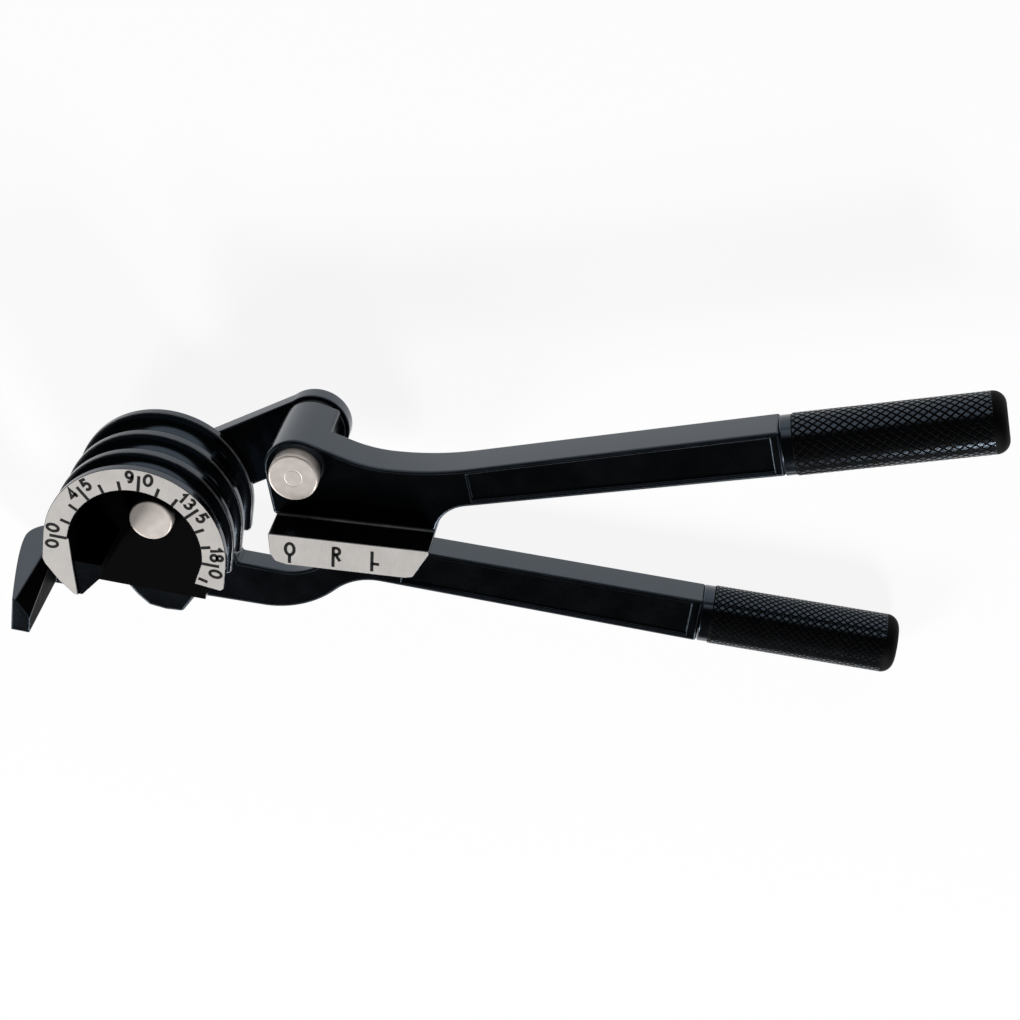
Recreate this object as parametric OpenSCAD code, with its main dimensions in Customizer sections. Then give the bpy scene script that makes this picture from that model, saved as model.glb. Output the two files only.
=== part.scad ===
// Three-size hand tube bender, lying on its back with the scale up.
// Origin on the wheel pin's axis, at the back of the head plate.
// X runs along the lower handle, Y across it, Z along the pins.

/* [Tubes] */
// outside diameter of the small tube
tube_s = 6.35; // [5:0.05:7]
// outside diameter of the middle tube
tube_m = 7.94; // [7:0.02:9]
// outside diameter of the large tube
tube_l = 9.53; // [9:0.01:11]
// room between a tube and its groove, on the radius
groove_clear = 0.08; // [0.04:0.02:0.2]

/* [Forming wheel] */
// radius of the flanges, where the tube's centre line runs
rim_r = 24.5; // [22:0.5:28]
// thickness of a flange
flange_t = 2.4; // [2:0.1:4]
// thickness of the back flange
back_flange_t = 2.4; // [2:0.1:4]
// radius of the hollow in the wheel's front
cavity_r = 18.1; // [16:0.1:19]
// thickness of the web behind the hollow
web_t = 14.4; // [12:0.1:18]
// straight length past the 180 mark
end_len = 6.9; // [3:0.1:10]
// straight length of the tail past the 0 mark
tail_len = 7.5; // [5:0.1:10]
// lowest point of the tail below the pin
tail_drop = 17; // [14:0.1:20]
// width of the foot that sits on the head plate
foot_w = 30; // [24:0.5:36]
// lowest edge of the foot below the pin
foot_drop = 24; // [20:0.5:26]

/* [Lower handle] */
// thickness of the head plate and the bar
head_t = 8; // [6:0.5:12]
// height of the bar where it begins
bar_h = 12; // [9:0.1:14]
// height of the bar at the grip
bar_end_h = 13.2; // [9:0.1:15]
// lower edge of the bar below the pin
bar_low = 17.45; // [16:0.05:20]
// how far the bar is thicker at its back than the head plate
bar_back = 1.4; // [0:0.1:3]
// neck's centre line below the pin
neck_drop = 26.3; // [24:0.1:32]
// how much the neck is higher than the bar, on each side
neck_more = 0.5; // [0:0.1:1]
// where the bend up to the bar begins
bend_x = 28.6; // [26:0.1:36]
// angle of the two bends between neck and bar
bend_a = 48.8; // [30:0.1:60]
// how far the upper edge bends later, which keeps the link clear
bend_slip = 5; // [4:0.1:8]
// where the grip begins
grip_x = 150; // [130:1:170]
// lift of the grip's axis over the bar's direction
grip_a = 1.3; // [0:0.1:3]
// top edge of the head plate below the pin
head_top = 11; // [10.5:0.1:13]
// how far the lug reaches below the head
lug_h = 7; // [3:0.1:9]

/* [Tube hook] */
// room between hook and tube
hook_clear = 0.25; // [0.1:0.05:0.6]
// how far the finger ends behind the wheel's front face
hook_short = 1.5; // [1:0.1:8]
// width of the finger at its front end
hook_w = 5.1; // [4:0.1:8]
// width of the finger where it leaves the head plate
hook_root_w = 9.6; // [7:0.1:12]
// height of the hook across the tube, at its front end
hook_h = 9.5; // [7:0.1:11]
// how much the finger is higher at its root
hook_flare = 4.8; // [0:0.1:6]
// rounding where arm and finger meet
hook_round = 8.5; // [3:0.1:9]
// width of the bevel along the finger's inner edge
hook_bevel = 4.2; // [1:0.1:4.6]

/* [Link and pins] */
// thickness of the link plate
link_t = 4.6; // [3.5:0.1:6]
// radius of the link's eyes
link_r = 9.4; // [7.5:0.1:9.6]
// radius of both pins
pin_r = 4; // [3:0.1:4.5]
// running clearance of a pin in a bush, on the radius
run_clear = 0.05; // [0.02:0.01:0.09]
// clearance of pieces that are fixed together
fix_clear = 0.02; // [0.01:0.01:0.05]
// gap between faces that slide on each other
face_gap = 0.1; // [0.05:0.05:0.2]
// wall of a bush
bush_t = 1.4; // [1:0.1:2]
// thickness of a washer
washer_t = 0.8; // [0.5:0.1:1.2]
// radius of the wheel pin's head
wheel_head_r = 6; // [5:0.1:8]
// height of the wheel pin's head
wheel_head_h = 3.4; // [2:0.1:6]
// radius of the shoe pin's head
shoe_head_r = 6.6; // [5:0.1:8]
// height of the shoe pin's head
shoe_head_h = 4.2; // [2:0.1:6]

/* [Forming shoe] */
// gap between shoe and wheel when a tube is bent
shoe_gap = 0.3; // [0.2:0.05:0.6]
// distance of the shoe pin from the grooved face
shoe_drop = 22.3; // [20:0.1:26]
// thickness of the grooved block
shoe_h = 8.7; // [7.5:0.1:11]
// length of the grooved block
shoe_len = 42.2; // [34:0.1:50]
// overhang of the block behind the pin
shoe_back = 5.2; // [3:0.1:7]
// depth of the ledge in front of the lever
ledge = 10.5; // [8:0.1:14]

/* [Upper handle] */
// thickness of the lever and its bar
lever_t = 11.2; // [8:0.1:12]
// height of the bar where the lever ends
arm_h = 10.7; // [8:0.1:13]
// height of the bar at the grip
arm_end_h = 12.6; // [8:0.1:14]
// angle between the grooves and the bar
arm_a = 14.1; // [8:0.1:20]
// radius of the boss round the shoe pin
boss_r = 8.7; // [8.5:0.1:10]
// radius of the dip in the lever's upper edge
dip_r = 84; // [60:1:110]
// radius of the curve from the boss down to the dip
slope_r = 36; // [25:1:45]
// radius of the fillet under the lever
fillet_r = 9.5; // [5:0.1:12]
// length of the bar from the end of the lever to the grip
arm_len = 78; // [60:1:100]

/* [Grips] */
// radius of the lower grip
low_grip_r = 8; // [6.5:0.1:9]
// length of the lower grip
low_grip_l = 54; // [40:1:80]
// radius of the upper grip
up_grip_r = 8; // [6.5:0.1:9]
// length of the upper grip
up_grip_l = 56; // [40:1:80]
// radius of the bar's tang inside a grip
tang_r = 3.9; // [3:0.1:4.5]
// rounding of a grip's end
grip_round = 3.5; // [1:0.1:5]

/* [Pose] */
// direction of the link at rest, from the lower handle
link_a = 34.7; // [0:0.1:90]
// direction of the grooves in the shoe at rest
shoe_a = 4.8; // [0:0.1:20]

/* [Hidden] */
$fn = 96;
black = [0.06, 0.06, 0.065];
steel = [0.66, 0.65, 0.62];
bronze = [0.55, 0.42, 0.22];

// grooves, from the front: radius and height of the centre
gr_s = tube_s / 2 + groove_clear;
gr_m = tube_m / 2 + groove_clear;
gr_l = tube_l / 2 + groove_clear;
z_l = head_t + back_flange_t + gr_l;
z_m = z_l + gr_l + flange_t + gr_m;
z_s = z_m + gr_m + flange_t + gr_s;
top_z = z_s + gr_s + flange_t;
grooves = [[gr_s, z_s], [gr_m, z_m], [gr_l, z_l]];
wheel_h = top_z - head_t;
web_z = head_t + web_t;

// stack behind the wheel, from the front: washer, link, washer, ring
link_top = head_t - washer_t - face_gap;
link_z = link_top - link_t;
rear_z = link_z - face_gap - washer_t;
ring_t = 0.8;
ring_z = rear_z - face_gap - ring_t;
ring_seat_r = pin_r - 0.8;
pin_end_z = ring_z - 0.7;
washer_r = link_r - 1;
bush_r = pin_r + run_clear + bush_t;

// shoe pin, and the frame that lies on it along the grooves
link_l = rim_r + shoe_gap + shoe_drop;
pivot = [link_l * cos(link_a), link_l * sin(link_a)];
body_z = head_t + 0.4;
lever_z = top_z - ledge;
arm_z = lever_z - lever_t;
seat_v = shoe_h - shoe_drop;
shoe_right = shoe_len - shoe_back;

// bar of the upper handle
arm_u = 48.3;
arm_v = 0.7;
arm_mid = 0.4;
dip_u = boss_r + 15.3;
dip_v = arm_v + (arm_h / 2 + arm_mid + dip_r) / cos(arm_a) - (arm_u - dip_u) * tan(arm_a);
slope_c = [dip_u, dip_v - dip_r + slope_r];
slope_a = atan2(slope_c[0], slope_c[1]) - acos((slope_r + boss_r) / norm(slope_c));
boss_u = boss_r - 1.6;
boss_top = [boss_u, (boss_r - boss_u * sin(slope_a)) / cos(slope_a)];
fillet_u = shoe_right + fillet_r;
fillet_v = arm_v - (arm_h / 2 - arm_mid + fillet_r) / cos(arm_a)
  - (arm_u - fillet_u) * tan(arm_a);

// neck, bar and grip axis of the lower handle
bar_drop = bar_low - bar_h / 2;
grip_drop = bar_low - bar_end_h / 2 - 0.15;
grip_z = (head_t - bar_back) / 2;
bend_r = (neck_drop - bar_drop) / 2 / (1 - cos(bend_a));
bar_x = bend_x + 2 * bend_r * sin(bend_a);
head_low = neck_drop + bar_h / 2 + neck_more;

// inner face of the hook, clear of the small and the large tube
hook_in_s = rim_r + tube_s / 2 + hook_clear;
hook_in_l = rim_r + tube_l / 2 + hook_clear;
hook_in_a = atan((hook_in_l - hook_in_s) / (z_s - z_l));
hook_top = top_z - hook_short;
hook_in_x = hook_in_s - (hook_top - z_s) * tan(hook_in_a);
hook_root_x = hook_in_l + hook_root_w;

// screws and dowels between wheel foot and head plate
screw_r = 2.5;
screw_head_r = 4.25;
screw_head_h = 4.6;
screw_in = 11;
foot_x = 1;
screws = [for (s = [-1, 1]) [foot_x + s * (foot_w / 2 - 4.5), -head_top - 6]];
dowel_r = 2;
dowel_in = 6;
dowels = [for (s = [-1, 1]) [foot_x + s * (dowel_r + 1.2), -head_top - 8.5]];
shoe_dowels_u = [0.12 * shoe_len, 0.71 * shoe_len];
shoe_dowel_l = 8;

// frame of the shoe: origin on the shoe pin, X along the grooves
module on_shoe() {
  translate([pivot[0], pivot[1], 0]) rotate(shoe_a) children();
}

// frame of the upper bar: X along it, origin where the lever ends
module on_arm() {
  on_shoe() translate([arm_u, arm_v, arm_z + lever_t / 2]) rotate(arm_a) children();
}

// points of an arc round c
function arc(c, r, a0, a1) = [
  for (i = [0:14]) let (a = a0 + (a1 - a0) * i / 14) c + r * [cos(a), sin(a)]];

// points of a curve from a to c that starts and ends towards b
function curve(a, b, c) = [
  for (i = [0:10]) let (t = i / 10) (1 - t) * (1 - t) * a + 2 * t * (1 - t) * b + t * t * c];

// half section of the grooved rim: radius across, height up
module rim_section() {
  difference() {
    translate([cavity_r, head_t]) square([rim_r - cavity_r, wheel_h]);
    for (g = grooves) translate([rim_r, g[1]]) circle(g[0]);
  }
}

// outline of head plate with lug, neck, double bend and bar
module handle_outline() {
  low_c = [bend_x, bend_r - neck_drop];
  high_c = [bar_x, -bend_r - bar_drop];
  r0 = bend_r - bar_h / 2;
  r1 = bend_r + bar_h / 2;
  over = [bend_slip, neck_more];
  polygon(concat(
    [[-25, -head_low - hook_flare], [-18, -head_low], [-10.3, -head_low], [-6.3, -head_low - 3.9],
      [-2.8, 0.5 - head_low - lug_h], [2, -head_low - lug_h], [6.9, 0.4 - head_low - lug_h],
      [10.4, -head_low - 0.3], [11.4, -head_low]],
    arc(low_c, r1, -90, bend_a - 90),
    arc(high_c, r0, bend_a + 90, 90),
    [[grip_x, -bar_low], [grip_x, bar_end_h - bar_low]],
    [for (i = [0:13]) arc(high_c + [bend_slip, 0], r1, 90, bend_a + 90)[i]],
    [for (i = [1:14]) arc(low_c + over, r0, bend_a - 90, -90)[i]],
    [[21.3, bar_h / 2 + neck_more - neck_drop], [18, -head_top], [-16, -head_top],
      [-25, hook_h - head_low]]));
}

// hook: arm and finger in side outline, narrower to the front, with a bevelled inner edge
module hook() {
  root = [hook_round - hook_root_x, hook_round];
  tip = [-hook_in_x - hook_w, hook_top];
  difference() {
    intersection() {
      translate([0, 10, 0]) rotate([90, 0, 0]) linear_extrude(80) polygon(concat(
        [[-24, 0]], [for (i = [0:13]) arc(root, hook_round, 270, 180)[i]],
        curve([-hook_root_x, hook_round], [-hook_root_x, hook_round + 7], tip),
        [[-hook_in_x, hook_top], [-hook_in_l, z_l],
          [-hook_in_l - (z_l - head_t) * tan(hook_in_a), head_t], [-24, head_t]]));
      translate([-60, 0, 0]) rotate([90, 0, 90]) linear_extrude(60) polygon([
        [-head_low - hook_flare, 0], [hook_h - head_low, 0], [hook_h - head_low, hook_top],
        [-head_low - 0.4, hook_top], [-head_low - hook_flare, head_t]]);
    }
    translate([-hook_in_x - hook_bevel, hook_h - head_low, head_t]) rotate([0, 0, -50])
      translate([-10, 0, 0]) cube([30, 20, 60]);
  }
}

// frame of the lower grip: X along it, origin at the bar's end
module on_grip() {
  translate([grip_x, -grip_drop, grip_z]) rotate(grip_a) children();
}

// forging with bar, neck, head plate and hook
module lower_handle() {
  color(black) difference() {
    union() {
      intersection() {
        translate([0, 0, -bar_back - 1]) linear_extrude(head_t + bar_back + 1) handle_outline();
        // side view: the bar is thicker than the head plate
        rotate([90, 0, 0]) translate([0, 0, -10]) linear_extrude(60) polygon([
          [-60, 0], [bend_x, 0], [bar_x, -bar_back], [grip_x + 5, -bar_back],
          [grip_x + 5, head_t + 1], [-60, head_t + 1]]);
      }
      hook();
      on_grip() translate([-2, 0, 0]) rotate([0, 90, 0]) cylinder(h = low_grip_l - 6, r = tang_r);
    }
    // panel in the bar's face
    translate([0, 0, head_t - 0.8]) linear_extrude(2) polygon([
      [bar_x + 6, 1.4 - bar_low], [grip_x - 3, 1.4 - bar_low],
      [grip_x - 3, bar_end_h - 1.4 - bar_low], [bar_x + 6, bar_h - 1.3 - bar_low]]);
    for (s = screws) translate([s[0], s[1], -1]) {
      cylinder(h = head_t + 2, r = screw_r + 0.1);
      cylinder(h = screw_head_h + 1.2, r = screw_head_r + 0.15);
    }
    for (d = dowels) translate([d[0], d[1], head_t - dowel_in])
      cylinder(h = dowel_in + 1, r = dowel_r + fix_clear);
  }
}

// round grip with a plain collar and a rounded end, along X from the origin
module grip(r, l, bore_l) {
  rotate([0, 90, 0]) difference() {
    union() {
      cylinder(h = 0.25, r1 = r - 0.5, r2 = r - 0.25);
      translate([0, 0, 0.25]) cylinder(h = 4.75, r = r - 0.25);
      translate([0, 0, 5]) rotate_extrude() {
        square([r, l - 5 - grip_round]);
        square([r - grip_round, l - 5]);
        intersection() {
          translate([r - grip_round, l - 5 - grip_round]) circle(grip_round);
          square([r, l]);
        }
      }
    }
    translate([0, 0, -1]) cylinder(h = bore_l + 1, r = tang_r + fix_clear);
  }
}

module lower_grip() {
  color(black) on_grip() grip(low_grip_r, low_grip_l, low_grip_l - 7);
}

// grooved wheel with straight end and tail, web and foot
module forming_wheel() {
  color(black) difference() {
    union() {
      rotate_extrude(angle = 180) rim_section();
      // straight end past the 180 mark, and tail at the 0 mark
      difference() {
        translate([0, 0, head_t]) linear_extrude(wheel_h) {
          polygon([[cavity_r, 0], [cavity_r - 1.4, 0.3 - end_len], [rim_r - 0.8, -end_len - 0.5],
            [rim_r, 0.3 - end_len], [rim_r, 0]]);
          polygon([[-rim_r, 0], [-rim_r, -tail_len], [0.9 - rim_r, -tail_len - 1.6],
            [-19.6, 3.4 - tail_drop], [-15.4, -tail_drop], [-14.4, -tail_drop],
            [-16.3, -tail_len], [-17.6, 0]]);
        }
        for (g = grooves, x = [-rim_r, rim_r]) translate([x, 1, g[1]]) rotate([90, 0, 0])
          cylinder(h = tail_drop + 4, r = g[0]);
      }
      // heel beside the tail, a little below the ground face
      translate([0, 0, head_t]) linear_extrude(wheel_h - 0.6) polygon([
        [-14.4, -tail_drop], [-13.3, 0.1 - tail_drop], [-8.8, -10.9], [-8.8, -end_len],
        [-16.6, -end_len], [-16.3, -tail_len]]);
      // web and foot
      translate([0, 0, head_t]) linear_extrude(web_t) {
        intersection() {
          circle(cavity_r + 1);
          translate([-30, -end_len]) square([60, 60]);
        }
        translate([foot_x - foot_w / 2, -foot_drop]) square([foot_w, foot_drop]);
      }
    }
    translate([0, 0, head_t - 1]) cylinder(h = web_t + 2, r = pin_r + fix_clear);
    for (s = screws) translate([s[0], s[1], head_t - 1])
      cylinder(h = screw_in + 2, r = screw_r + fix_clear);
    for (d = dowels) translate([d[0], d[1], head_t - 1])
      cylinder(h = dowel_in + 1.5, r = dowel_r + fix_clear);
  }
}

// cap screws from the back of the head plate into the wheel's foot
module wheel_screws() {
  color(steel) for (s = screws) translate([s[0], s[1], 0.2]) difference() {
    union() {
      cylinder(h = screw_head_h, r = screw_head_r);
      cylinder(h = head_t + screw_in, r = screw_r);
    }
    translate([0, 0, -1]) cylinder(h = 3.5, r = 2.3, $fn = 6);
  }
}

module wheel_dowels() {
  color(steel) for (d = dowels) translate([d[0], d[1], head_t - dowel_in])
    cylinder(h = 2 * dowel_in, r = dowel_r);
}

// headed pin: face of the head at z1, shoulder at z0, ring seat near the tail
module headed_pin(z0, z1, head_r) {
  difference() {
    union() {
      translate([0, 0, pin_end_z]) cylinder(h = z0 + 0.5 - pin_end_z, r = pin_r);
      translate([0, 0, z0]) cylinder(h = z1 - z0 - 0.6, r = head_r);
      translate([0, 0, z1 - 0.6]) cylinder(h = 0.6, r1 = head_r, r2 = head_r - 0.6);
    }
    translate([0, 0, ring_z - 0.05]) difference() {
      cylinder(h = ring_t + 0.1, r = pin_r + 1);
      translate([0, 0, -1]) cylinder(h = ring_t + 2.1, r = ring_seat_r);
    }
  }
}

// flat washer on a pin
module washer(z, t) {
  translate([0, 0, z]) difference() {
    cylinder(h = t, r = washer_r);
    translate([0, 0, -1]) cylinder(h = t + 2, r = pin_r + 0.1);
  }
}

// open retaining ring in the pin's seat
module retaining_ring() {
  translate([0, 0, ring_z]) difference() {
    cylinder(h = ring_t, r = pin_r + 1.6);
    translate([0, 0, -1]) cylinder(h = ring_t + 2, r = ring_seat_r + fix_clear);
    translate([0, -2.4, -1]) cube([10, 4.8, ring_t + 2]);
  }
}

// bush in an eye of the link
module bush() {
  translate([0, 0, link_z]) difference() {
    cylinder(h = link_t, r = bush_r);
    translate([0, 0, -1]) cylinder(h = link_t + 2, r = pin_r + run_clear);
  }
}

module wheel_pin() {
  color(steel) headed_pin(web_z, web_z + wheel_head_h, wheel_head_r);
}

module wheel_thrust_washer() {
  color(steel) washer(head_t - washer_t, washer_t);
}

module wheel_rear_washer() {
  color(steel) washer(rear_z, washer_t);
}

module wheel_pin_ring() {
  color(steel) retaining_ring();
}

// flat link between the two pins
module link_plate() {
  color(black) rotate(link_a) translate([0, 0, link_z]) difference() {
    union() {
      cylinder(h = link_t, r = link_r);
      translate([link_l, 0, 0]) cylinder(h = link_t, r = link_r);
      translate([0, 0.6 - link_r, 0]) cube([link_l, 2 * link_r - 0.8, link_t]);
    }
    for (x = [0, link_l]) translate([x, 0, -1])
      cylinder(h = link_t + 2, r = bush_r + fix_clear);
  }
}

module link_wheel_bush() {
  color(bronze) bush();
}

module link_shoe_bush() {
  color(bronze) translate([pivot[0], pivot[1], 0]) bush();
}

// upper edge of the lever from the bar to the slope, and the boss round to its lower left
function dip_edge() = concat(
  arc([dip_u, dip_v], dip_r, arm_a - 90, -90),
  [for (i = [1:14]) arc(slope_c, slope_r, -90, -90 - slope_a)[i]]);
function boss_edge() = arc([0, 0], boss_r, 90 - slope_a, 193.4);

// outline of boss, lever and bar as one piece
module lever_outline() {
  across = [-sin(arm_a), cos(arm_a)];
  arm_end = [arm_u, arm_v] + [cos(arm_a), sin(arm_a)] * arm_len;
  foot_a = asin((seat_v - fillet_v) / fillet_r);
  polygon(concat(
    [[-shoe_back - 0.8, seat_v]],
    arc([fillet_u, fillet_v], fillet_r, 180 - foot_a, 90 + arm_a),
    [arm_end + across * (0.3 - arm_end_h / 2), arm_end + across * (0.3 + arm_end_h / 2)],
    dip_edge(), [boss_top], boss_edge()));
}

// forging with boss, lever, bar and tang
module upper_handle() {
  color(black) difference() {
    union() {
      on_shoe() {
        translate([0, 0, arm_z]) linear_extrude(lever_t) lever_outline();
        // boss block behind the lever
        translate([0, 0, body_z]) linear_extrude(arm_z - body_z + 1) polygon(concat(
          [[-shoe_back - 0.8, seat_v], [boss_u, seat_v], boss_top], boss_edge()));
      }
      on_arm() translate([arm_len - 2, 0, 0]) rotate([0, 90, 0])
        cylinder(h = up_grip_l - 6, r = tang_r);
    }
    // panel in the bar's face
    on_arm() translate([0, 0, lever_t / 2 - 0.8]) linear_extrude(2) polygon([
      [-3, arm_mid + 1.4 - arm_h / 2], [arm_len - 2.5, 1.7 - arm_end_h / 2],
      [arm_len - 2.5, arm_end_h / 2 - 1.1], [-3, arm_mid - 1.4 + arm_h / 2]]);
    on_shoe() translate([0, 0, body_z - 1])
      cylinder(h = lever_z, r = pin_r + fix_clear);
    on_shoe() for (u = shoe_dowels_u) translate([u, seat_v - 1, arm_z + lever_t / 2])
      rotate([-90, 0, 0]) cylinder(h = shoe_dowel_l / 2 + 1.5, r = dowel_r + fix_clear);
  }
}

module upper_grip() {
  color(black) on_arm() translate([arm_len, 0, 0])
    grip(up_grip_r, up_grip_l, up_grip_l - 7);
}

// block with the three tube grooves
module forming_shoe() {
  color(black) on_shoe() difference() {
    translate([0, 0, body_z]) linear_extrude(top_z - body_z) polygon([
      [-shoe_back, seat_v], [0.6 - shoe_back, 2.8 - shoe_drop], [2 - shoe_back, 0.7 - shoe_drop],
      [5 - shoe_back, -shoe_drop], [shoe_right - 6, -shoe_drop],
      [shoe_right - 4, 0.5 - shoe_drop], [shoe_right, shoe_h - 1 - shoe_drop],
      [shoe_right, seat_v]]);
    for (g = grooves) translate([-shoe_back - 1, -shoe_drop, g[1]]) rotate([0, 90, 0])
      cylinder(h = shoe_len + 2, r = g[0]);
    for (u = shoe_dowels_u) translate([u, seat_v + 1, arm_z + lever_t / 2])
      rotate([90, 0, 0]) cylinder(h = shoe_dowel_l / 2 - 0.8, r = dowel_r + fix_clear);
  }
}

// hidden dowels between shoe and lever
module shoe_dowels() {
  color(steel) on_shoe() for (u = shoe_dowels_u)
    translate([u, seat_v - 2, arm_z + lever_t / 2]) rotate([-90, 0, 0])
      cylinder(h = shoe_dowel_l / 2 + 2, r = dowel_r);
}

module shoe_pin() {
  color(steel) translate([pivot[0], pivot[1], 0])
    headed_pin(lever_z, lever_z + shoe_head_h, shoe_head_r);
}

module shoe_thrust_washer() {
  color(steel) translate([pivot[0], pivot[1], 0])
    washer(head_t - washer_t, body_z - head_t + washer_t);
}

module shoe_rear_washer() {
  color(steel) translate([pivot[0], pivot[1], 0]) washer(rear_z, washer_t);
}

module shoe_pin_ring() {
  color(steel) translate([pivot[0], pivot[1], 0]) retaining_ring();
}

lower_handle();
lower_grip();
forming_wheel();
wheel_screws();
wheel_dowels();
wheel_pin();
wheel_thrust_washer();
wheel_rear_washer();
wheel_pin_ring();
link_plate();
link_wheel_bush();
link_shoe_bush();
upper_handle();
upper_grip();
forming_shoe();
shoe_dowels();
shoe_pin();
shoe_thrust_washer();
shoe_rear_washer();
shoe_pin_ring();
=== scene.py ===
import math

import bmesh
import bpy
import numpy as np
from mathutils import Matrix


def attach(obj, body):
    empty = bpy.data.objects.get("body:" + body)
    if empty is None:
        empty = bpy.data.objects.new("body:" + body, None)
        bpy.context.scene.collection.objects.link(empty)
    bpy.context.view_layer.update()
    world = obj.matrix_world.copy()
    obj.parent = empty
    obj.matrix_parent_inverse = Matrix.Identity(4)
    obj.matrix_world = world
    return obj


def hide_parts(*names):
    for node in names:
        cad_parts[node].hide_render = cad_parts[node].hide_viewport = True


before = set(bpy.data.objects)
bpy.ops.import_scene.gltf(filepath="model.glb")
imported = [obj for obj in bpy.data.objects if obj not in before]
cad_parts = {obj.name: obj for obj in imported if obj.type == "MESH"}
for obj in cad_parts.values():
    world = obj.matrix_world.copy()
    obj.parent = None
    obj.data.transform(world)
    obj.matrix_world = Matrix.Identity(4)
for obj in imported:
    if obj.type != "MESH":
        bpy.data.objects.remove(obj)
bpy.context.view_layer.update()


# Lower handle: one steel forging with bar, dipped neck, head plate and tube hook. It is trimmed
# and tumbled, which leaves soft edges, then blackened in a hot oxide bath and oiled.

MM = 0.001


def lin(code):
    """Linear RGBA of an sRGB hex colour: the standard curve on each channel."""
    c = np.array([int(code[i:i + 2], 16) for i in (1, 3, 5)]) / 255
    return (*np.where(c <= 0.04045, c / 12.92, ((c + 0.055) / 1.055) ** 2.4).tolist(), 1.0)


def put(tree, kind, inputs=(), **settings):
    """Adds a node: settings go to its properties, inputs to its sockets as values or links."""
    node = tree.nodes.new(kind)
    for key, value in settings.items():
        setattr(node, key, value)
    for key, value in dict(inputs).items():
        if isinstance(value, bpy.types.NodeSocket):
            tree.links.new(value, node.inputs[key])
        else:
            node.inputs[key].default_value = value
    return node


def steel_finish(name, dark, light, rough, patch_mm, grain_mm, grain_depth_mm, constants=(),
                 stretch=(1, 1, 1)):
    """A steel surface: two tones and a roughness range over soft patches patch_mm wide, and a
    grain of grain_mm that is grain_depth_mm deep. Constants are values of the shader's sockets;
    stretch turns the grain into grinding lines."""
    material = bpy.data.materials.new(name)
    material.use_nodes = True
    tree = material.node_tree
    shader = tree.nodes["Principled BSDF"]
    place = put(tree, "ShaderNodeTexCoord").outputs["Object"]
    patch = put(tree, "ShaderNodeTexNoise",
                {"Vector": place, "Scale": 1 / (patch_mm * MM), "Detail": 3.0})
    drawn = put(tree, "ShaderNodeMapping", {"Vector": place, "Scale": stretch})
    grain = put(tree, "ShaderNodeTexNoise",
                {"Vector": drawn.outputs["Vector"], "Scale": 1 / (grain_mm * MM), "Detail": 2.0})
    both = put(tree, "ShaderNodeMix",
               {"Factor": 0.4, 2: patch.outputs["Fac"], 3: grain.outputs["Fac"]})
    spread = put(tree, "ShaderNodeMapRange",
                 {"Value": both.outputs[0], "From Min": 0.35, "From Max": 0.65})
    tone = put(tree, "ShaderNodeMix",
               {"Factor": spread.outputs["Result"], 6: lin(dark), 7: lin(light)},
               data_type="RGBA")
    tree.links.new(tone.outputs[2], shader.inputs["Base Color"])
    gloss = put(tree, "ShaderNodeMapRange",
                {"Value": spread.outputs["Result"], "To Min": rough[0], "To Max": rough[1]})
    tree.links.new(gloss.outputs["Result"], shader.inputs["Roughness"])
    bump = put(tree, "ShaderNodeBump",
               {"Height": grain.outputs["Fac"], "Strength": 0.5,
                "Distance": grain_depth_mm * MM})
    tree.links.new(bump.outputs["Normal"], shader.inputs["Normal"])
    for key, value in dict(constants).items():
        shader.inputs[key].default_value = value
    return material


# Hot black oxide, oiled: a thin dark layer that shows the forging's fine grain and reflects the
# room, slightly blue, as an oil film does. The grain is drawn at 0.5 mm, coarser than the real one.
blue_sheen = lin("#cfe6ff")
oxide = steel_finish("oiled_black_oxide", "#030304", "#070809", rough=(0.12, 0.18), patch_mm=9,
                     grain_mm=0.5, grain_depth_mm=0.012,
                     constants={"IOR": 1.72, "Specular Tint": blue_sheen})

# The same layer rubbed thin along the edges, where hands and tubes pass: greyer and more satin.
rubbed = steel_finish("black_oxide_rubbed_at_edges", "#08090a", "#121416", rough=(0.30, 0.40),
                      patch_mm=6, grain_mm=0.5, grain_depth_mm=0.01,
                      constants={"IOR": 1.65, "Specular Tint": blue_sheen})

# Black oxide on faces left as forged: scale holds the oil, so they are dull and hardly reflect. In
# the wheel's hollow and on the hook's inner side it is also painted shade that keeps them dark.
dull_skin_and_shade = steel_finish("dull_black_oxide_and_painted_shade", "#030304", "#060607", rough=(0.50, 0.62),
                     patch_mm=3, grain_mm=0.3, grain_depth_mm=0.01,
                     constants={"Specular IOR Level": 0.02})


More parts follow.
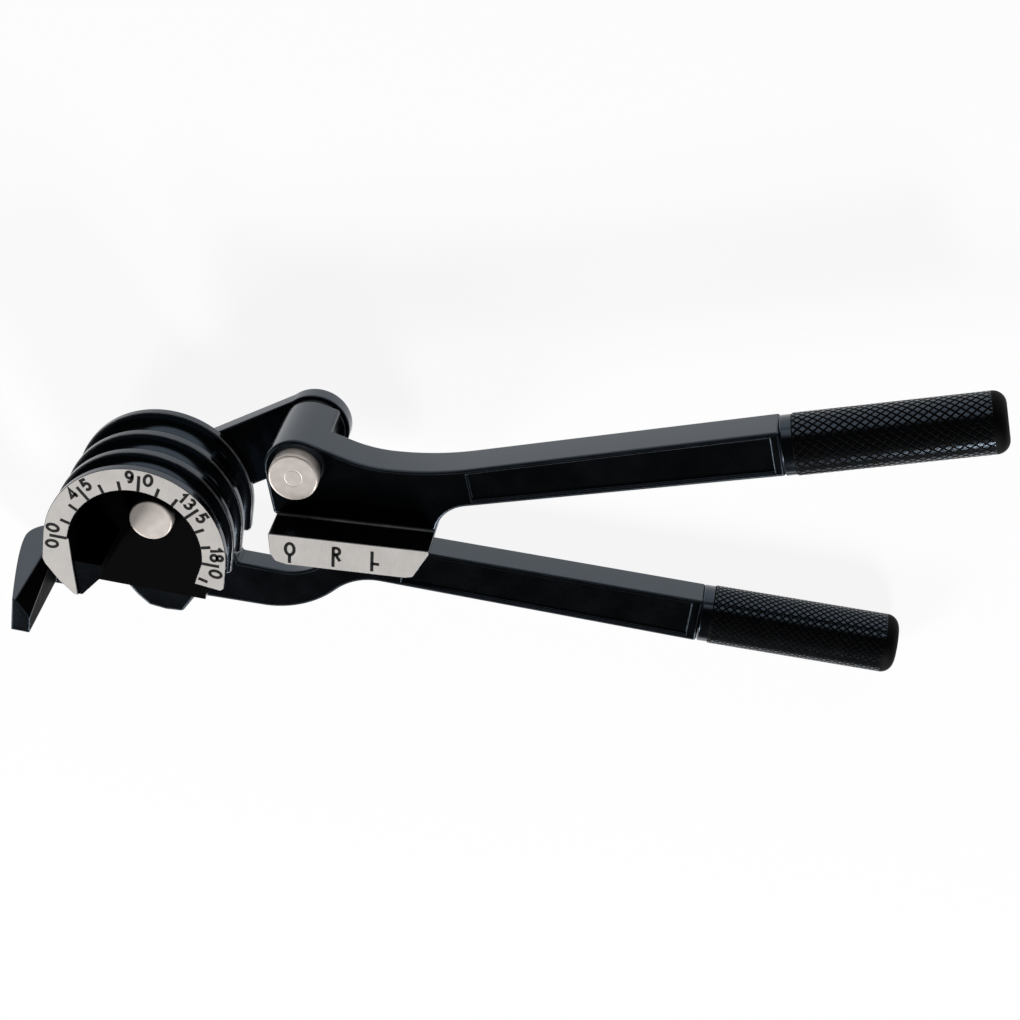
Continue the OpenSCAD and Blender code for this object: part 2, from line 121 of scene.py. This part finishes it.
def rounded(node, name, radius_mm, finishes, weight=None, pick=None):
    """A solid with rolled edges: the CAD triangles are merged to flat faces, and each edge over
    30 degrees gets radius_mm times weight(midpoint in mm), or stays sharp where that is 0. Each
    face takes the finish whose number pick(centre in mm, normal) gives, rolled edges the second."""
    bm = bmesh.new()
    bm.from_mesh(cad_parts[node].data)
    bmesh.ops.remove_doubles(bm, verts=bm.verts, dist=2e-6)
    bmesh.ops.dissolve_limit(bm, angle_limit=math.radians(0.3), verts=bm.verts, edges=bm.edges)
    mesh = bpy.data.meshes.new(name)
    bm.normal_update()
    sharp = np.array([len(e.link_faces) == 2 and e.calc_face_angle(0.0) > math.radians(30)
                      for e in bm.edges])
    mids = np.array([(e.verts[0].co + e.verts[1].co) / 2 for e in bm.edges]) / MM
    bm.to_mesh(mesh)
    bm.free()
    amount = np.where(sharp, 1.0 if weight is None else weight(mids), 0.0)
    soft = mesh.attributes.new("bevel_weight_edge", "FLOAT", "EDGE")
    soft.data.foreach_set("value", amount.astype(np.float32))
    hard = mesh.attributes.new("sharp_edge", "BOOLEAN", "EDGE")
    hard.data.foreach_set("value", sharp & (amount == 0))
    mesh.polygons.foreach_set("use_smooth", np.ones(len(mesh.polygons), bool))
    for finish in finishes:
        mesh.materials.append(finish)
    if pick is not None:
        chosen = pick(np.array([p.center for p in mesh.polygons]) / MM,
                      np.array([p.normal for p in mesh.polygons]))
        mesh.polygons.foreach_set("material_index", chosen.astype(np.int32))
    piece = bpy.data.objects.new(name, mesh)
    bpy.context.scene.collection.objects.link(piece)
    edge = piece.modifiers.new("rolled_edges", "BEVEL")
    edge.width = radius_mm * MM
    edge.segments = 3
    edge.limit_method = "WEIGHT"
    edge.use_clamp_overlap = False
    edge.material = 1
    flat = piece.modifiers.new("flat_faces_stay_flat", "WEIGHTED_NORMAL")
    flat.mode = "FACE_AREA"
    flat.weight = 100
    flat.keep_sharp = True
    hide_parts(node)
    return piece


def lower_edges(m):
    """A small radius round the panel pressed into the bar's face and on the hook, a middling one
    on the bar's upper edge, the full one elsewhere."""
    x, y, z = m.T
    panel_top = 0.0144 * (x - 67) - 6.1
    panel = (x > 64) & (x < 148.5) & (y > -16.7) & (y < panel_top) & (z > 6.5)
    panel_end, hook, upper_edge = x > 146, x < -24, y > -7
    return np.where(panel, np.where(panel_end, 0.2, 0.35),
                    np.where(hook, 0.35, np.where(upper_edge, 0.6, 1.0)))


def hook_inside(c, n):
    """The dull finish on the hook's inner side, which faces the wheel: partly skin left as forged,
    partly painted shade.
    """
    return np.where((c[:, 0] < -25) & (n[:, 0] > 0.6), 2, 0)


lower_handle = rounded("lower_handle", "lower_handle_forging", radius_mm=0.8,
                       finishes=(oxide, rubbed, dull_skin_and_shade), weight=lower_edges, pick=hook_inside)
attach(lower_handle, "base")


# Grips: steel sleeves bored for the bars' round tangs, turned with a plain collar and a rounded
# end, rolled with a diamond knurl, blackened like the forgings and pressed on.

# Knurled black oxide: the diamonds' flat tops are rubbed and shine. The grooves between them hold
# oil and dust and stay dull, which is partly real dust and partly painted shade in the creases. The
# step at the collar and the rounded end take the same dull finish as painted shade that keeps them
# dark.
knurl = steel_finish("knurled_black_oxide", "#030304", "#070809", rough=(0.15, 0.21), patch_mm=5,
                     grain_mm=0.4, grain_depth_mm=0.008,
                     constants={"IOR": 1.72, "Specular Tint": blue_sheen})
dust_and_shade_finish = steel_finish("dusty_black_oxide_and_painted_shade", "#020202", "#040404", rough=(0.58, 0.70),
                      patch_mm=3, grain_mm=0.3, grain_depth_mm=0.01,
                      constants={"Specular IOR Level": 0.08})


def closed(name, verts, faces, finish, smooth=False):
    """A piece from the corners in mm and the faces of a closed surface, all turned outwards."""
    mesh = bpy.data.meshes.new(name)
    mesh.from_pydata((np.asarray(verts) * MM).tolist(), [], faces)
    mesh.polygons.foreach_set("use_smooth", np.full(len(mesh.polygons), smooth))
    mesh.materials.append(finish)
    bm = bmesh.new()
    bm.from_mesh(mesh)
    bmesh.ops.recalc_face_normals(bm, faces=bm.faces)
    bm.to_mesh(mesh)
    bm.free()
    piece = bpy.data.objects.new(name, mesh)
    bpy.context.scene.collection.objects.link(piece)
    return piece


def shell(name, rows, finish, fold=None):
    """A closed surface from a grid of rows: each row is a ring, and the first and last rows shrink
    to a point, which is one vertex with a fan of triangles. With fold each four-sided face is cut
    in two, along its second diagonal where fold is true and along its first elsewhere."""
    n, m = rows.shape[0] - 2, rows.shape[1]
    verts = np.vstack([rows[0, :1], rows[1:-1].reshape(-1, 3), rows[-1, :1]])
    i, j = np.meshgrid(np.arange(n - 1), np.arange(m), indexing="ij")
    k = (j + 1) % m
    sides = np.stack([1 + i * m + j, 1 + i * m + k, 1 + (i + 1) * m + k, 1 + (i + 1) * m + j], -1)
    if fold is not None:
        sides = np.where(fold[..., None], sides[..., [0, 1, 3, 1, 2, 3]],
                         sides[..., [0, 1, 2, 0, 2, 3]])
    j, k = np.arange(m), (np.arange(m) + 1) % m
    start = np.stack([np.zeros(m, int), 1 + k, 1 + j], -1)
    end = np.stack([np.full(m, len(verts) - 1), 1 + (n - 1) * m + j, 1 + (n - 1) * m + k], -1)
    faces = sides.reshape(-1, 4 if fold is None else 3).tolist() + start.tolist() + end.tolist()
    return closed(name, verts, faces, finish, smooth=True)


def ridge(phase):
    """A triangle wave: 0 at each whole phase, 1 halfway between them."""
    return 1 - np.abs(2 * (phase % 1.0) - 1)


def knurled_grip(name, r, length, pitch, teeth, start, turn):
    """A turned profile carried round the bar's axis. Between the collar and the rounded end two
    sets of V grooves leave flat-topped diamonds: the radius falls by the groove's depth times
    1 - 3 min(ridge(n a + x / p), ridge(n a - x / p), 1 / 3), where a is the angle, n the teeth
    round and p their spacing along. The grid is cut along the grooves."""
    depth, steps = 0.22, 12
    knurl_start, knurl_end, run_out = 3.2, length - 4.0, 0.6
    bore, bore_end, collar_r, end_r = 3.92, length - 7, r - 0.25, 3.5
    # (distance along, radius): bore, end face, chamfer and plain collar
    collar = np.array([(bore_end, 0), (bore_end, bore), (0, bore), (0, r - 0.6), (0.02, r - 0.5),
                       (0.25, collar_r), (0.35, collar_r), (0.55, collar_r), (2.85, collar_r),
                       (3.0, collar_r)])
    knurled = np.arange(knurl_start, knurl_end, pitch / steps)
    bead = np.radians(np.linspace(0, 90, 9))
    along = np.concatenate([collar[:, 0], knurled, [length - 3.6],
                            length - end_r + end_r * np.sin(bead), [length]])
    radius = np.concatenate([collar[:, 1], np.full(len(knurled) + 1, r),
                             r - end_r + end_r * np.cos(bead), [0]])
    around = np.linspace(0, 2 * np.pi, teeth * steps, endpoint=False)
    x, a = np.meshgrid(along, around, indexing="ij")
    u = teeth * a / (2 * np.pi) + (x - knurl_start) / pitch
    v = teeth * a / (2 * np.pi) - (x - knurl_start) / pitch
    points = np.minimum(ridge(u), ridge(v))
    inside = np.clip((x - knurl_start) / run_out, 0, 1) * np.clip((knurl_end - x) / run_out, 0, 1)
    inside[:len(collar)] = 0
    rr = radius[:, None] - depth * (1 - np.minimum(3 * points, 1)) * inside
    c, s = math.cos(turn), math.sin(turn)
    side, up = rr * np.cos(a), rr * np.sin(a)
    place = np.stack([start[0] + c * x - s * side, start[1] + s * x + c * side, start[2] + up], -1)
    mid_u, mid_v = ((w[1:-2] + w[2:-1]) / 2 + 0.5 / steps for w in (u, v))
    piece = shell(name, place, knurl, ridge(mid_u) < ridge(mid_v))
    # the grooves (dust and painted shade), the step at the collar and the rounded end (painted
    # shade) are dull, with a hard edge to the tops
    mesh = piece.data
    mesh.materials.append(dust_and_shade_finish)
    groove = (points < 0.32) & (inside > 0)
    step, rounded_end = np.abs(x - 3.0) < 0.05, x > length - 3.55
    dust_and_shade_mask = np.concatenate([[0], (groove | step | rounded_end)[1:-1].reshape(-1), [1]])
    corner, edge = np.empty(len(mesh.loops), np.int32), np.empty(len(mesh.loops), np.int32)
    mesh.loops.foreach_get("vertex_index", corner)
    mesh.loops.foreach_get("edge_index", edge)
    dull = dust_and_shade_mask[corner].reshape(-1, 3).max(1)
    mesh.polygons.foreach_set("material_index", dull.astype(np.int32))
    hard = mesh.attributes.new("sharp_edge", "BOOLEAN", "EDGE")
    hard.data.foreach_set("value", np.bincount(edge, np.repeat(dull, 3), len(mesh.edges)) == 1)
    return piece


lower_grip = knurled_grip("lower_grip_knurled", r=8.0, length=54, pitch=2.2, teeth=29,
                          start=(150, -10.7, 3.3), turn=math.radians(1.3))
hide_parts("lower_grip")
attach(lower_grip, "base")


# Forming wheel: a steel casting with three half-round grooves, blackened all over, then ground
# on its front so that the bright ring carries the degree scale. Screwed and dowelled to the head.

# Ground and satin-rolled steel: pale, with fine lines across it, drawn at 0.25 mm to show.
ground = steel_finish("ground_satin_steel", "#c6c1bd", "#d3cfcb", rough=(0.50, 0.62), patch_mm=4,
                      grain_mm=0.25, grain_depth_mm=0.006, constants={"Metallic": 0.1},
                      stretch=(1, 0.08, 1))

# Rolled edges of wheel and shoe: pale grey steel. It is partly the oxide worn through where tubes
# slide over the flanges, and partly a painted highlight that gives the thin bright lines along the
# edges.
wear_and_highlight = steel_finish("steel_worn_bare_and_painted_highlight", "#4a4b4e", "#6c6d70", rough=(0.30, 0.40),
                    patch_mm=3, grain_mm=0.3, grain_depth_mm=0.006, constants={"Metallic": 0.5})

TOP = 41.9


def ground_front(c, n):
    """The ground finish on faces at the height of the front that look along the pins."""
    return np.where((c[:, 2] > TOP - 0.05) & (n[:, 2] > 0.99), 2, 0)


def wheel_edges(m):
    """A small radius on the ground front. The cast hollow keeps the edges its mould gave."""
    x, y, z = m.T
    hollow = ((np.hypot(x, y) < 20) | (y < -8)) & (z > 9)
    return np.where(z > TOP - 0.1, 0.35, np.where(hollow, 0.0, 1.0))


def wheel_faces(c, n):
    """The dull skin of the cast hollow, which also paints the hollow's shade, and the ground front.
    """
    x, y, z = c.T
    return np.where((np.hypot(x, y) < 19) & (z > 9.5) & (z < TOP - 1), 3, ground_front(c, n))


# the wheel's rolled edges take the pale edge finish: partly wear, partly painted highlight
forming_wheel = rounded("forming_wheel", "forming_wheel_casting", radius_mm=0.4,
                        finishes=(oxide, wear_and_highlight, ground, dull_skin_and_shade), weight=wheel_edges, pick=wheel_faces)
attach(forming_wheel, "base")

# Alloy cap screws and hardened dowels, hidden between wheel and head plate: dark bare steel.
fastener = steel_finish("fastener_steel", "#3a3b3d", "#4c4e51", rough=(0.35, 0.5), patch_mm=3,
                        grain_mm=0.3, grain_depth_mm=0.01, constants={"Metallic": 0.9})


def dress(node, finish):
    """A CAD node that stays as it is takes the finish on its object's slots."""
    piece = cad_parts[node]
    if not piece.material_slots:
        piece.data.materials.append(finish)
    for slot in piece.material_slots:
        slot.link = "OBJECT"
        slot.material = finish


for node in ("wheel_screws", "wheel_dowels"):
    dress(node, fastener)


# Degree scale: marks stamped into the ground ring and filled with black paint. A short line every
# 15 degrees, a long one every 45 with its number split round it, read with the heads outwards.

# Filling paint: a flat black that hardly reflects, so that the marks stay dark from every side.
paint = steel_finish("black_filling_paint", "#040405", "#09090a", rough=(0.50, 0.65), patch_mm=2,
                     grain_mm=0.2, grain_depth_mm=0.004, constants={"IOR": 1.3})


def sweep(cx, cy, rx, ry, a0, a1, n=17):
    """Points of an elliptical arc from angle a0 to a1 in degrees."""
    a = np.radians(np.linspace(a0, a1, n))
    return np.c_[cx + rx * np.cos(a), cy + ry * np.sin(a)]


# lines of each digit, one unit high and centred on x = 0
GLYPHS = {
    "0": [sweep(0, 0.5, 0.30, 0.46, 90, 450, 29)],
    "1": [np.array([(-0.2, 0.72), (0.06, 0.97), (0.06, 0.02)])],
    "3": [np.vstack([sweep(0, 0.73, 0.23, 0.23, 155, -80), sweep(0, 0.27, 0.27, 0.24, 80, -155)])],
    "4": [np.array([(0.16, 0.02), (0.16, 0.97), (-0.28, 0.3), (0.32, 0.3)])],
    "5": [np.vstack([[(0.24, 0.96), (-0.17, 0.96), (-0.21, 0.54)],
                     sweep(0.0, 0.32, 0.26, 0.28, 120, -145)])],
    "8": [sweep(0, 0.74, 0.21, 0.22, -90, 270, 25), sweep(0, 0.27, 0.27, 0.25, 90, 450, 25)],
    "9": [sweep(0, 0.68, 0.25, 0.28, 0, 360, 25),
          np.array([(0.25, 0.68), (0.22, 0.36), (0.08, 0.1), (-0.16, 0.04)])],
}


def strokes(name, lines, width):
    """Each line becomes a low bar: its points are moved half the width to both sides along the
    mitre of the neighbouring directions, and the two edges are joined from just under the ground
    face to just over it."""
    low, high = TOP - 0.1, TOP + 0.03
    verts, faces = [], []
    for line in lines:
        p = np.asarray(line, float)
        loop = np.allclose(p[0], p[-1])
        p = p[:-1] if loop else p
        step = np.diff(np.vstack([p, p[:1]]) if loop else p, axis=0)
        step /= np.linalg.norm(step, axis=1)[:, None]
        before = np.vstack([step[-1:] if loop else step[:1], step])[:len(p)]
        after = np.vstack([step, step[-1:]])[:len(p)]
        way = before + after
        way /= np.linalg.norm(way, axis=1)[:, None]
        left = np.c_[-way[:, 1], way[:, 0]]
        miter = np.clip((way * after).sum(1), 0.5, 1)[:, None]
        a, b = p + left * width / 2 / miter, p - left * width / 2 / miter
        n, base = len(p), len(verts)
        ring = np.stack([np.c_[a, np.full(n, low)], np.c_[a, np.full(n, high)],
                         np.c_[b, np.full(n, high)], np.c_[b, np.full(n, low)]], 1)
        verts.extend(ring.reshape(-1, 3).tolist())
        i = np.arange(n if loop else n - 1)
        nxt = (i + 1) % n
        for c in range(4):
            d = (c + 1) % 4
            sides = np.stack([4 * i + c, 4 * i + d, 4 * nxt + d, 4 * nxt + c], -1)
            faces.extend((base + sides).tolist())
        if not loop:
            faces.append([base + 3, base + 2, base + 1, base])
            faces.append([base + 4 * (n - 1) + c for c in range(4)])
    piece = closed(name, verts, faces, paint)
    return piece


def on_ring(points, degrees, r0):
    """Points with x along the ring and y outwards, set at a scale value; 0 lies at the tail."""
    a = math.radians(180 - degrees)
    out, along = np.array([math.cos(a), math.sin(a)]), np.array([math.sin(a), -math.cos(a)])
    points = np.asarray(points, float)
    return points[:, :1] * along + (points[:, 1:] + r0) * out


tick_r, long_tick, short_tick = 18.2, 4.6, 2.6
ticks = [on_ring([(0, 0), (0, short_tick if v % 45 else long_tick)], v, tick_r)
         for v in range(0, 196, 15)]
# heights in mm, places in degrees of the scale
digit_r, digit_height, first_digit, next_digit = 20.5, 3.3, 6.4, 6.0
digits = []
for value, before, after in ((0, "0", "0"), (45, "4", "5"), (90, "9", "0"), (135, "13", "5"),
                             (180, "18", "0")):
    outermost = -first_digit - next_digit * (len(before) - 1)
    for word, first in ((before, outermost), (after, first_digit)):
        for k, digit in enumerate(word):
            for line in GLYPHS[digit]:
                digits.append(on_ring(line * digit_height, value + first + next_digit * k, digit_r))
scale_lines = strokes("degree_lines", ticks, width=0.86)
scale_numbers = strokes("degree_numbers", digits, width=0.84)
for piece in (scale_lines, scale_numbers):
    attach(piece, "base")


# Wheel pin: a turned and polished steel pin with a low head in the wheel's hollow, held at the
# back by a washer and an open retaining ring. The link turns on it in a bronze bush.

# Satin turned steel: pale and a little warm, with a soft sheen.
pin_steel = steel_finish("satin_turned_steel", "#dcd3cc", "#e6ddd6", rough=(0.34, 0.42), patch_mm=2,
                         grain_mm=0.2, grain_depth_mm=0.006, constants={"Metallic": 0.3})


def headed_pin(name, centre, shoulder, face, head_r, crown):
    """A turned profile of (radius, height) pairs spun round the pin's axis: head face with the
    crown's pairs, rolled rim, shank, seat of the retaining ring and chamfered tail."""
    rim = np.radians(np.linspace(90, 0, 7))
    edge, shank, seat, tail = 0.6, 4, 3.2, 3.6
    seat_top, seat_low, chamfer = 1.55, 0.65, 0.4
    crown_r, crown_z = np.array(crown).T
    r = np.concatenate([[0], crown_r, [head_r - edge - 0.1], head_r - edge + edge * np.cos(rim),
                        [head_r, shank, shank, seat, seat, shank, shank, tail, 0]])
    z = np.concatenate([[face], face + crown_z, [face], face - edge + edge * np.sin(rim),
                        [shoulder, shoulder, seat_top, seat_top, seat_low, seat_low, chamfer,
                         0, 0]])
    a = np.linspace(0, 2 * np.pi, 96, endpoint=False)
    rows = np.stack([centre[0] + r[:, None] * np.cos(a), centre[1] + r[:, None] * np.sin(a),
                     np.broadcast_to(z[:, None], (len(r), len(a)))], -1)
    return shell(name, rows, pin_steel)


wheel_pin = headed_pin("wheel_pin_turned", centre=(0, 0), shoulder=22.4, face=25.8, head_r=6.0,
                       crown=[(0.5, 0), (3.5, 0), (5.0, 0)])
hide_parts("wheel_pin")
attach(wheel_pin, "base")
for node in ("wheel_thrust_washer", "wheel_rear_washer", "wheel_pin_ring"):
    dress(node, fastener)


# Link: a flat steel bar with round ends, blanked and blackened, that holds the shoe pin at the
# right distance from the wheel. A bronze bush is pressed into each eye.

link_plate = rounded("link_plate", "link_plate_blank", radius_mm=0.5, finishes=(oxide, rubbed))
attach(link_plate, "link")

# Bearing bronze: yellow-brown metal with a soft turned sheen, seen only at the eyes.
bronze = steel_finish("bearing_bronze", "#8a6a3a", "#a5824c", rough=(0.35, 0.5), patch_mm=3,
                      grain_mm=0.3, grain_depth_mm=0.01, constants={"Metallic": 1.0})
for node in ("link_wheel_bush", "link_shoe_bush"):
    dress(node, bronze)


# Upper handle: a second forging with boss, lever and panelled bar, finished like the first, with
# its knurled grip pressed on the tang.

PIVOT = np.array([38.722, 26.813])
SHOE_TURN = math.radians(4.8)
ARM_TURN = math.radians(4.8 + 14.1)


def on_shoe(points):
    """Points of the shoe's own frame, x along its grooves from the shoe pin, set in the part."""
    c, s = math.cos(SHOE_TURN), math.sin(SHOE_TURN)
    points = np.atleast_2d(np.asarray(points, float))
    return points @ np.array([[c, s], [-s, c]]) + PIVOT


arm_start = on_shoe((48.3, 0.7))[0]
arm_way = np.array([math.cos(ARM_TURN), math.sin(ARM_TURN)])
arm_length, arm_z = 78, 25.8


def upper_edges(m):
    """Small radius at the panel in the bar's face, full radius elsewhere."""
    d = m[:, :2] - arm_start
    x, y = d @ arm_way, d @ (-arm_way[1], arm_way[0])
    beside = (y > -4.25 - 0.0134 * (x + 3)) & (y < 5.05 + 0.0108 * (x + 3)) & (m[:, 2] > 30)
    panel, panel_end = beside & (x > -3.5) & (x < 76.5), x > 73.5
    return np.where(panel, np.where(panel_end, 0.2, 0.35), 1.0)


upper_handle = rounded("upper_handle", "upper_handle_forging", radius_mm=0.8,
                       finishes=(oxide, rubbed), weight=upper_edges)
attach(upper_handle, "upper")
arm_end = arm_start + arm_length * arm_way
upper_grip = knurled_grip("upper_grip_knurled", r=8.0, length=56, pitch=2.6, teeth=25,
                          start=(*arm_end, arm_z), turn=ARM_TURN)
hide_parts("upper_grip")
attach(upper_grip, "upper")


# Forming shoe: a milled steel block with three straight grooves, brazed and dowelled under the
# lever. Its front edge is ground bright and carries three filled index marks.


def shoe_edges(m):
    """A small radius on the ground strip, the full one elsewhere."""
    return np.where(m[:, 2] > TOP - 0.1, 0.35, 1.0)


# the shoe's rolled edges take the pale edge finish: partly wear, partly painted highlight
forming_shoe = rounded("forming_shoe", "forming_shoe_block", radius_mm=0.4,
                       finishes=(oxide, wear_and_highlight, ground), weight=shoe_edges, pick=ground_front)
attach(forming_shoe, "upper")
dress("shoe_dowels", fastener)


def seam_fillet(name, u0, u1, v, z, r):
    """A hollow fillet along u in the corner of two faces: the section is a quarter circle of radius
    r round (v + r, z + r), closed through the corner, carried from u0 to u1."""
    a = np.radians(np.linspace(180, 270, 7))
    sunk = 0.05
    section = np.vstack([[(v - sunk, z - sunk), (v - sunk, z + r)],
                         np.c_[v + r + r * np.cos(a), z + r + r * np.sin(a)], [(v + r, z - sunk)]])
    n = len(section)
    across, height = np.vstack([section, section]).T
    verts = np.c_[on_shoe(np.c_[np.repeat([u0, u1], n), across]), height]
    i = np.arange(n)
    nxt = (i + 1) % n
    faces = np.c_[i, nxt, n + nxt, n + i].tolist() + [i.tolist(), (n + i[::-1]).tolist()]
    return closed(name, verts, faces, wear_and_highlight)


# the braze shows as a thin fillet between the lever's front and the block; its pale edge finish is
# a painted highlight, the bright line along the seam
seam = seam_fillet("shoe_braze_fillet_painted_highlight", u0=-5.0, u1=36.8, v=-13.6, z=31.4, r=0.6)
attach(seam, "upper")

# the marks 0, R and L, each with its line, in the shoe's own frame
index = [
    sweep(0.66, -17.5, 1.15, 1.7, 90, 450, 29), [(0.62, -19.2), (0.58, -21.7)],
    [(12.1, -15.4), (12.1, -21.4)],
    np.vstack([[(12.1, -15.65)], sweep(12.95, -16.6, 0.85, 0.95, 90, -90), [(12.1, -17.55)]]),
    [(12.7, -17.55), (13.9, -19.5)],
    [(22.3, -15.4), (22.3, -21.4)], [(22.3, -19.1), (24.2, -19.1)]]
index_marks = strokes("index_marks", [on_shoe(line) for line in index], width=0.85)
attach(index_marks, "upper")


# Shoe pin: the same turned steel, with a larger head on the lever's boss that shows the ring left
# by the heading tool, and a washer and open ring behind the link.

shoe_pin = headed_pin("shoe_pin_turned", centre=PIVOT, shoulder=31.4, face=35.6, head_r=6.6,
                      crown=[(0.4, 0), (2.0, 0), (2.1, 0), (2.2, -0.04), (2.35, -0.04), (2.45, 0),
                             (2.55, 0)])
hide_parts("shoe_pin")
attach(shoe_pin, "upper")
for node in ("shoe_thrust_washer", "shoe_rear_washer", "shoe_pin_ring"):
    dress(node, fastener)


# Studio: a sheet of white paper that the tool lies on, in a dim room with a wide soft window behind
# the camera, and two soft lamps beyond the tool, one on either side.

# the table reaches 6 m each way and lies just under the lower grip, which is the lowest piece
reach = np.array([-6.0, 6.0])
table_z = -4.8 * MM
gx, gy = np.meshgrid(reach, reach, indexing="ij")
table_mesh = bpy.data.meshes.new("studio_table")
table_mesh.from_pydata(np.stack([gx, gy, np.full((2, 2), table_z)], -1).reshape(-1, 3).tolist(),
                       [], [[0, 2, 3, 1]])
table = bpy.data.objects.new("studio_table", table_mesh)
bpy.context.scene.collection.objects.link(table)

# White paper: seen and mirrored it glows almost white and takes the tool's shadow; what lights the
# tool from below is its plain pale surface.
paper = bpy.data.materials.new("white_studio_paper")
paper.use_nodes = True
tree = paper.node_tree
tree.nodes.clear()
path = put(tree, "ShaderNodeLightPath")
seen = put(tree, "ShaderNodeMath",
           {0: path.outputs["Is Camera Ray"], 1: path.outputs["Is Glossy Ray"]},
           operation="MAXIMUM")
seen = put(tree, "ShaderNodeMath", {0: seen.outputs[0], 1: path.outputs["Is Transmission Ray"]},
           operation="MAXIMUM")
plain = put(tree, "ShaderNodeBsdfDiffuse", {"Color": lin("#e6e6e6")})
shade = put(tree, "ShaderNodeBsdfDiffuse", {"Color": lin("#5e5e5e")})
# the paper is a sheet about a metre wide: what the steel mirrors beyond it is a dim floor
GLOW = 0.90
spot = put(tree, "ShaderNodeTexCoord").outputs["Object"]
away = put(tree, "ShaderNodeVectorMath", {0: spot, 1: (0.09, 0.02, 0.0)}, operation="DISTANCE")
lost = put(tree, "ShaderNodeMapRange",
           {"Value": away.outputs["Value"], "From Min": 0.25, "From Max": 0.7, "To Min": 0.0,
            "To Max": 0.85}, interpolation_type="SMOOTHSTEP")
dim = put(tree, "ShaderNodeMath", {0: lost.outputs["Result"], 1: path.outputs["Is Glossy Ray"]},
          operation="MULTIPLY")
glow = put(tree, "ShaderNodeMath", {0: dim.outputs[0], 1: -GLOW, 2: GLOW}, operation="MULTIPLY_ADD")
white = put(tree, "ShaderNodeEmission", {"Color": (1, 1, 1, 1), "Strength": glow.outputs[0]})
lit = put(tree, "ShaderNodeAddShader", {0: shade.outputs[0], 1: white.outputs[0]})
sheet = put(tree, "ShaderNodeMixShader",
            {0: seen.outputs[0], 1: plain.outputs[0], 2: lit.outputs[0]})
put(tree, "ShaderNodeOutputMaterial", {"Surface": sheet.outputs[0]})
table_mesh.materials.append(paper)

# Room: dim walls that darken to the ceiling, and the window's light round +Y.
world = bpy.data.worlds.new("studio_room")
world.use_nodes = True
tree = world.node_tree
tree.nodes.clear()
way = put(tree, "ShaderNodeSeparateXYZ", {0: put(tree, "ShaderNodeTexCoord").outputs["Generated"]})
wall = put(tree, "ShaderNodeMapRange",
           {"Value": way.outputs["Z"], "From Min": 0.04, "From Max": 0.4, "To Min": 0.09,
            "To Max": 0.012}, interpolation_type="SMOOTHSTEP")
window = put(tree, "ShaderNodeMapRange",
             {"Value": way.outputs["Y"], "From Min": 0.74, "From Max": 0.88, "To Min": 0.0,
              "To Max": 0.85}, interpolation_type="SMOOTHSTEP")
both = put(tree, "ShaderNodeMath", {0: wall.outputs["Result"], 1: window.outputs["Result"]})
room = put(tree, "ShaderNodeBackground", {"Color": both.outputs[0], "Strength": 1.0})
put(tree, "ShaderNodeOutputWorld", {"Surface": room.outputs[0]})
bpy.context.scene.world = world


def lamp(name, at, power, size):
    """A square soft lamp at a point, facing the middle of the tool."""
    light = bpy.data.lights.new(name, "AREA")
    light.energy, light.size = power, size
    holder = bpy.data.objects.new(name, light)
    away = np.array(at) - (0.07, 0.0, 0.02)
    away /= np.linalg.norm(away)
    across = np.cross((0, 0, 1), away)
    across /= np.linalg.norm(across)
    holder.matrix_world = Matrix.Translation(at) @ Matrix(
        np.stack([across, np.cross(away, across), away], 1).tolist()).to_4x4()
    bpy.context.scene.collection.objects.link(holder)


lamp("right_lamp", at=(1.13, -1.56, 1.25), power=36.0, size=0.6)
lamp("left_lamp", at=(-1.04, -1.47, 1.22), power=31.0, size=0.7)

# Camera: the place, turn and lens that lay the wheel's scale and the handles on the photo's.
view = bpy.data.cameras.new("camera")
view.lens, view.sensor_width = 83.547, 36.0
camera = bpy.data.objects.new("camera", view)
axes = np.array([(0.982205, 0.134155, -0.131436), (-0.182181, 0.850639, -0.493178),
                 (0.045642, 0.508347, 0.859942)]).T
camera.matrix_world = (Matrix.Translation((0.12305, 0.33750, 0.55684))
                       @ Matrix(axes.tolist()).to_4x4())
bpy.context.scene.collection.objects.link(camera)
bpy.context.scene.camera = camera
bpy.context.scene.view_settings.view_transform = "Standard"
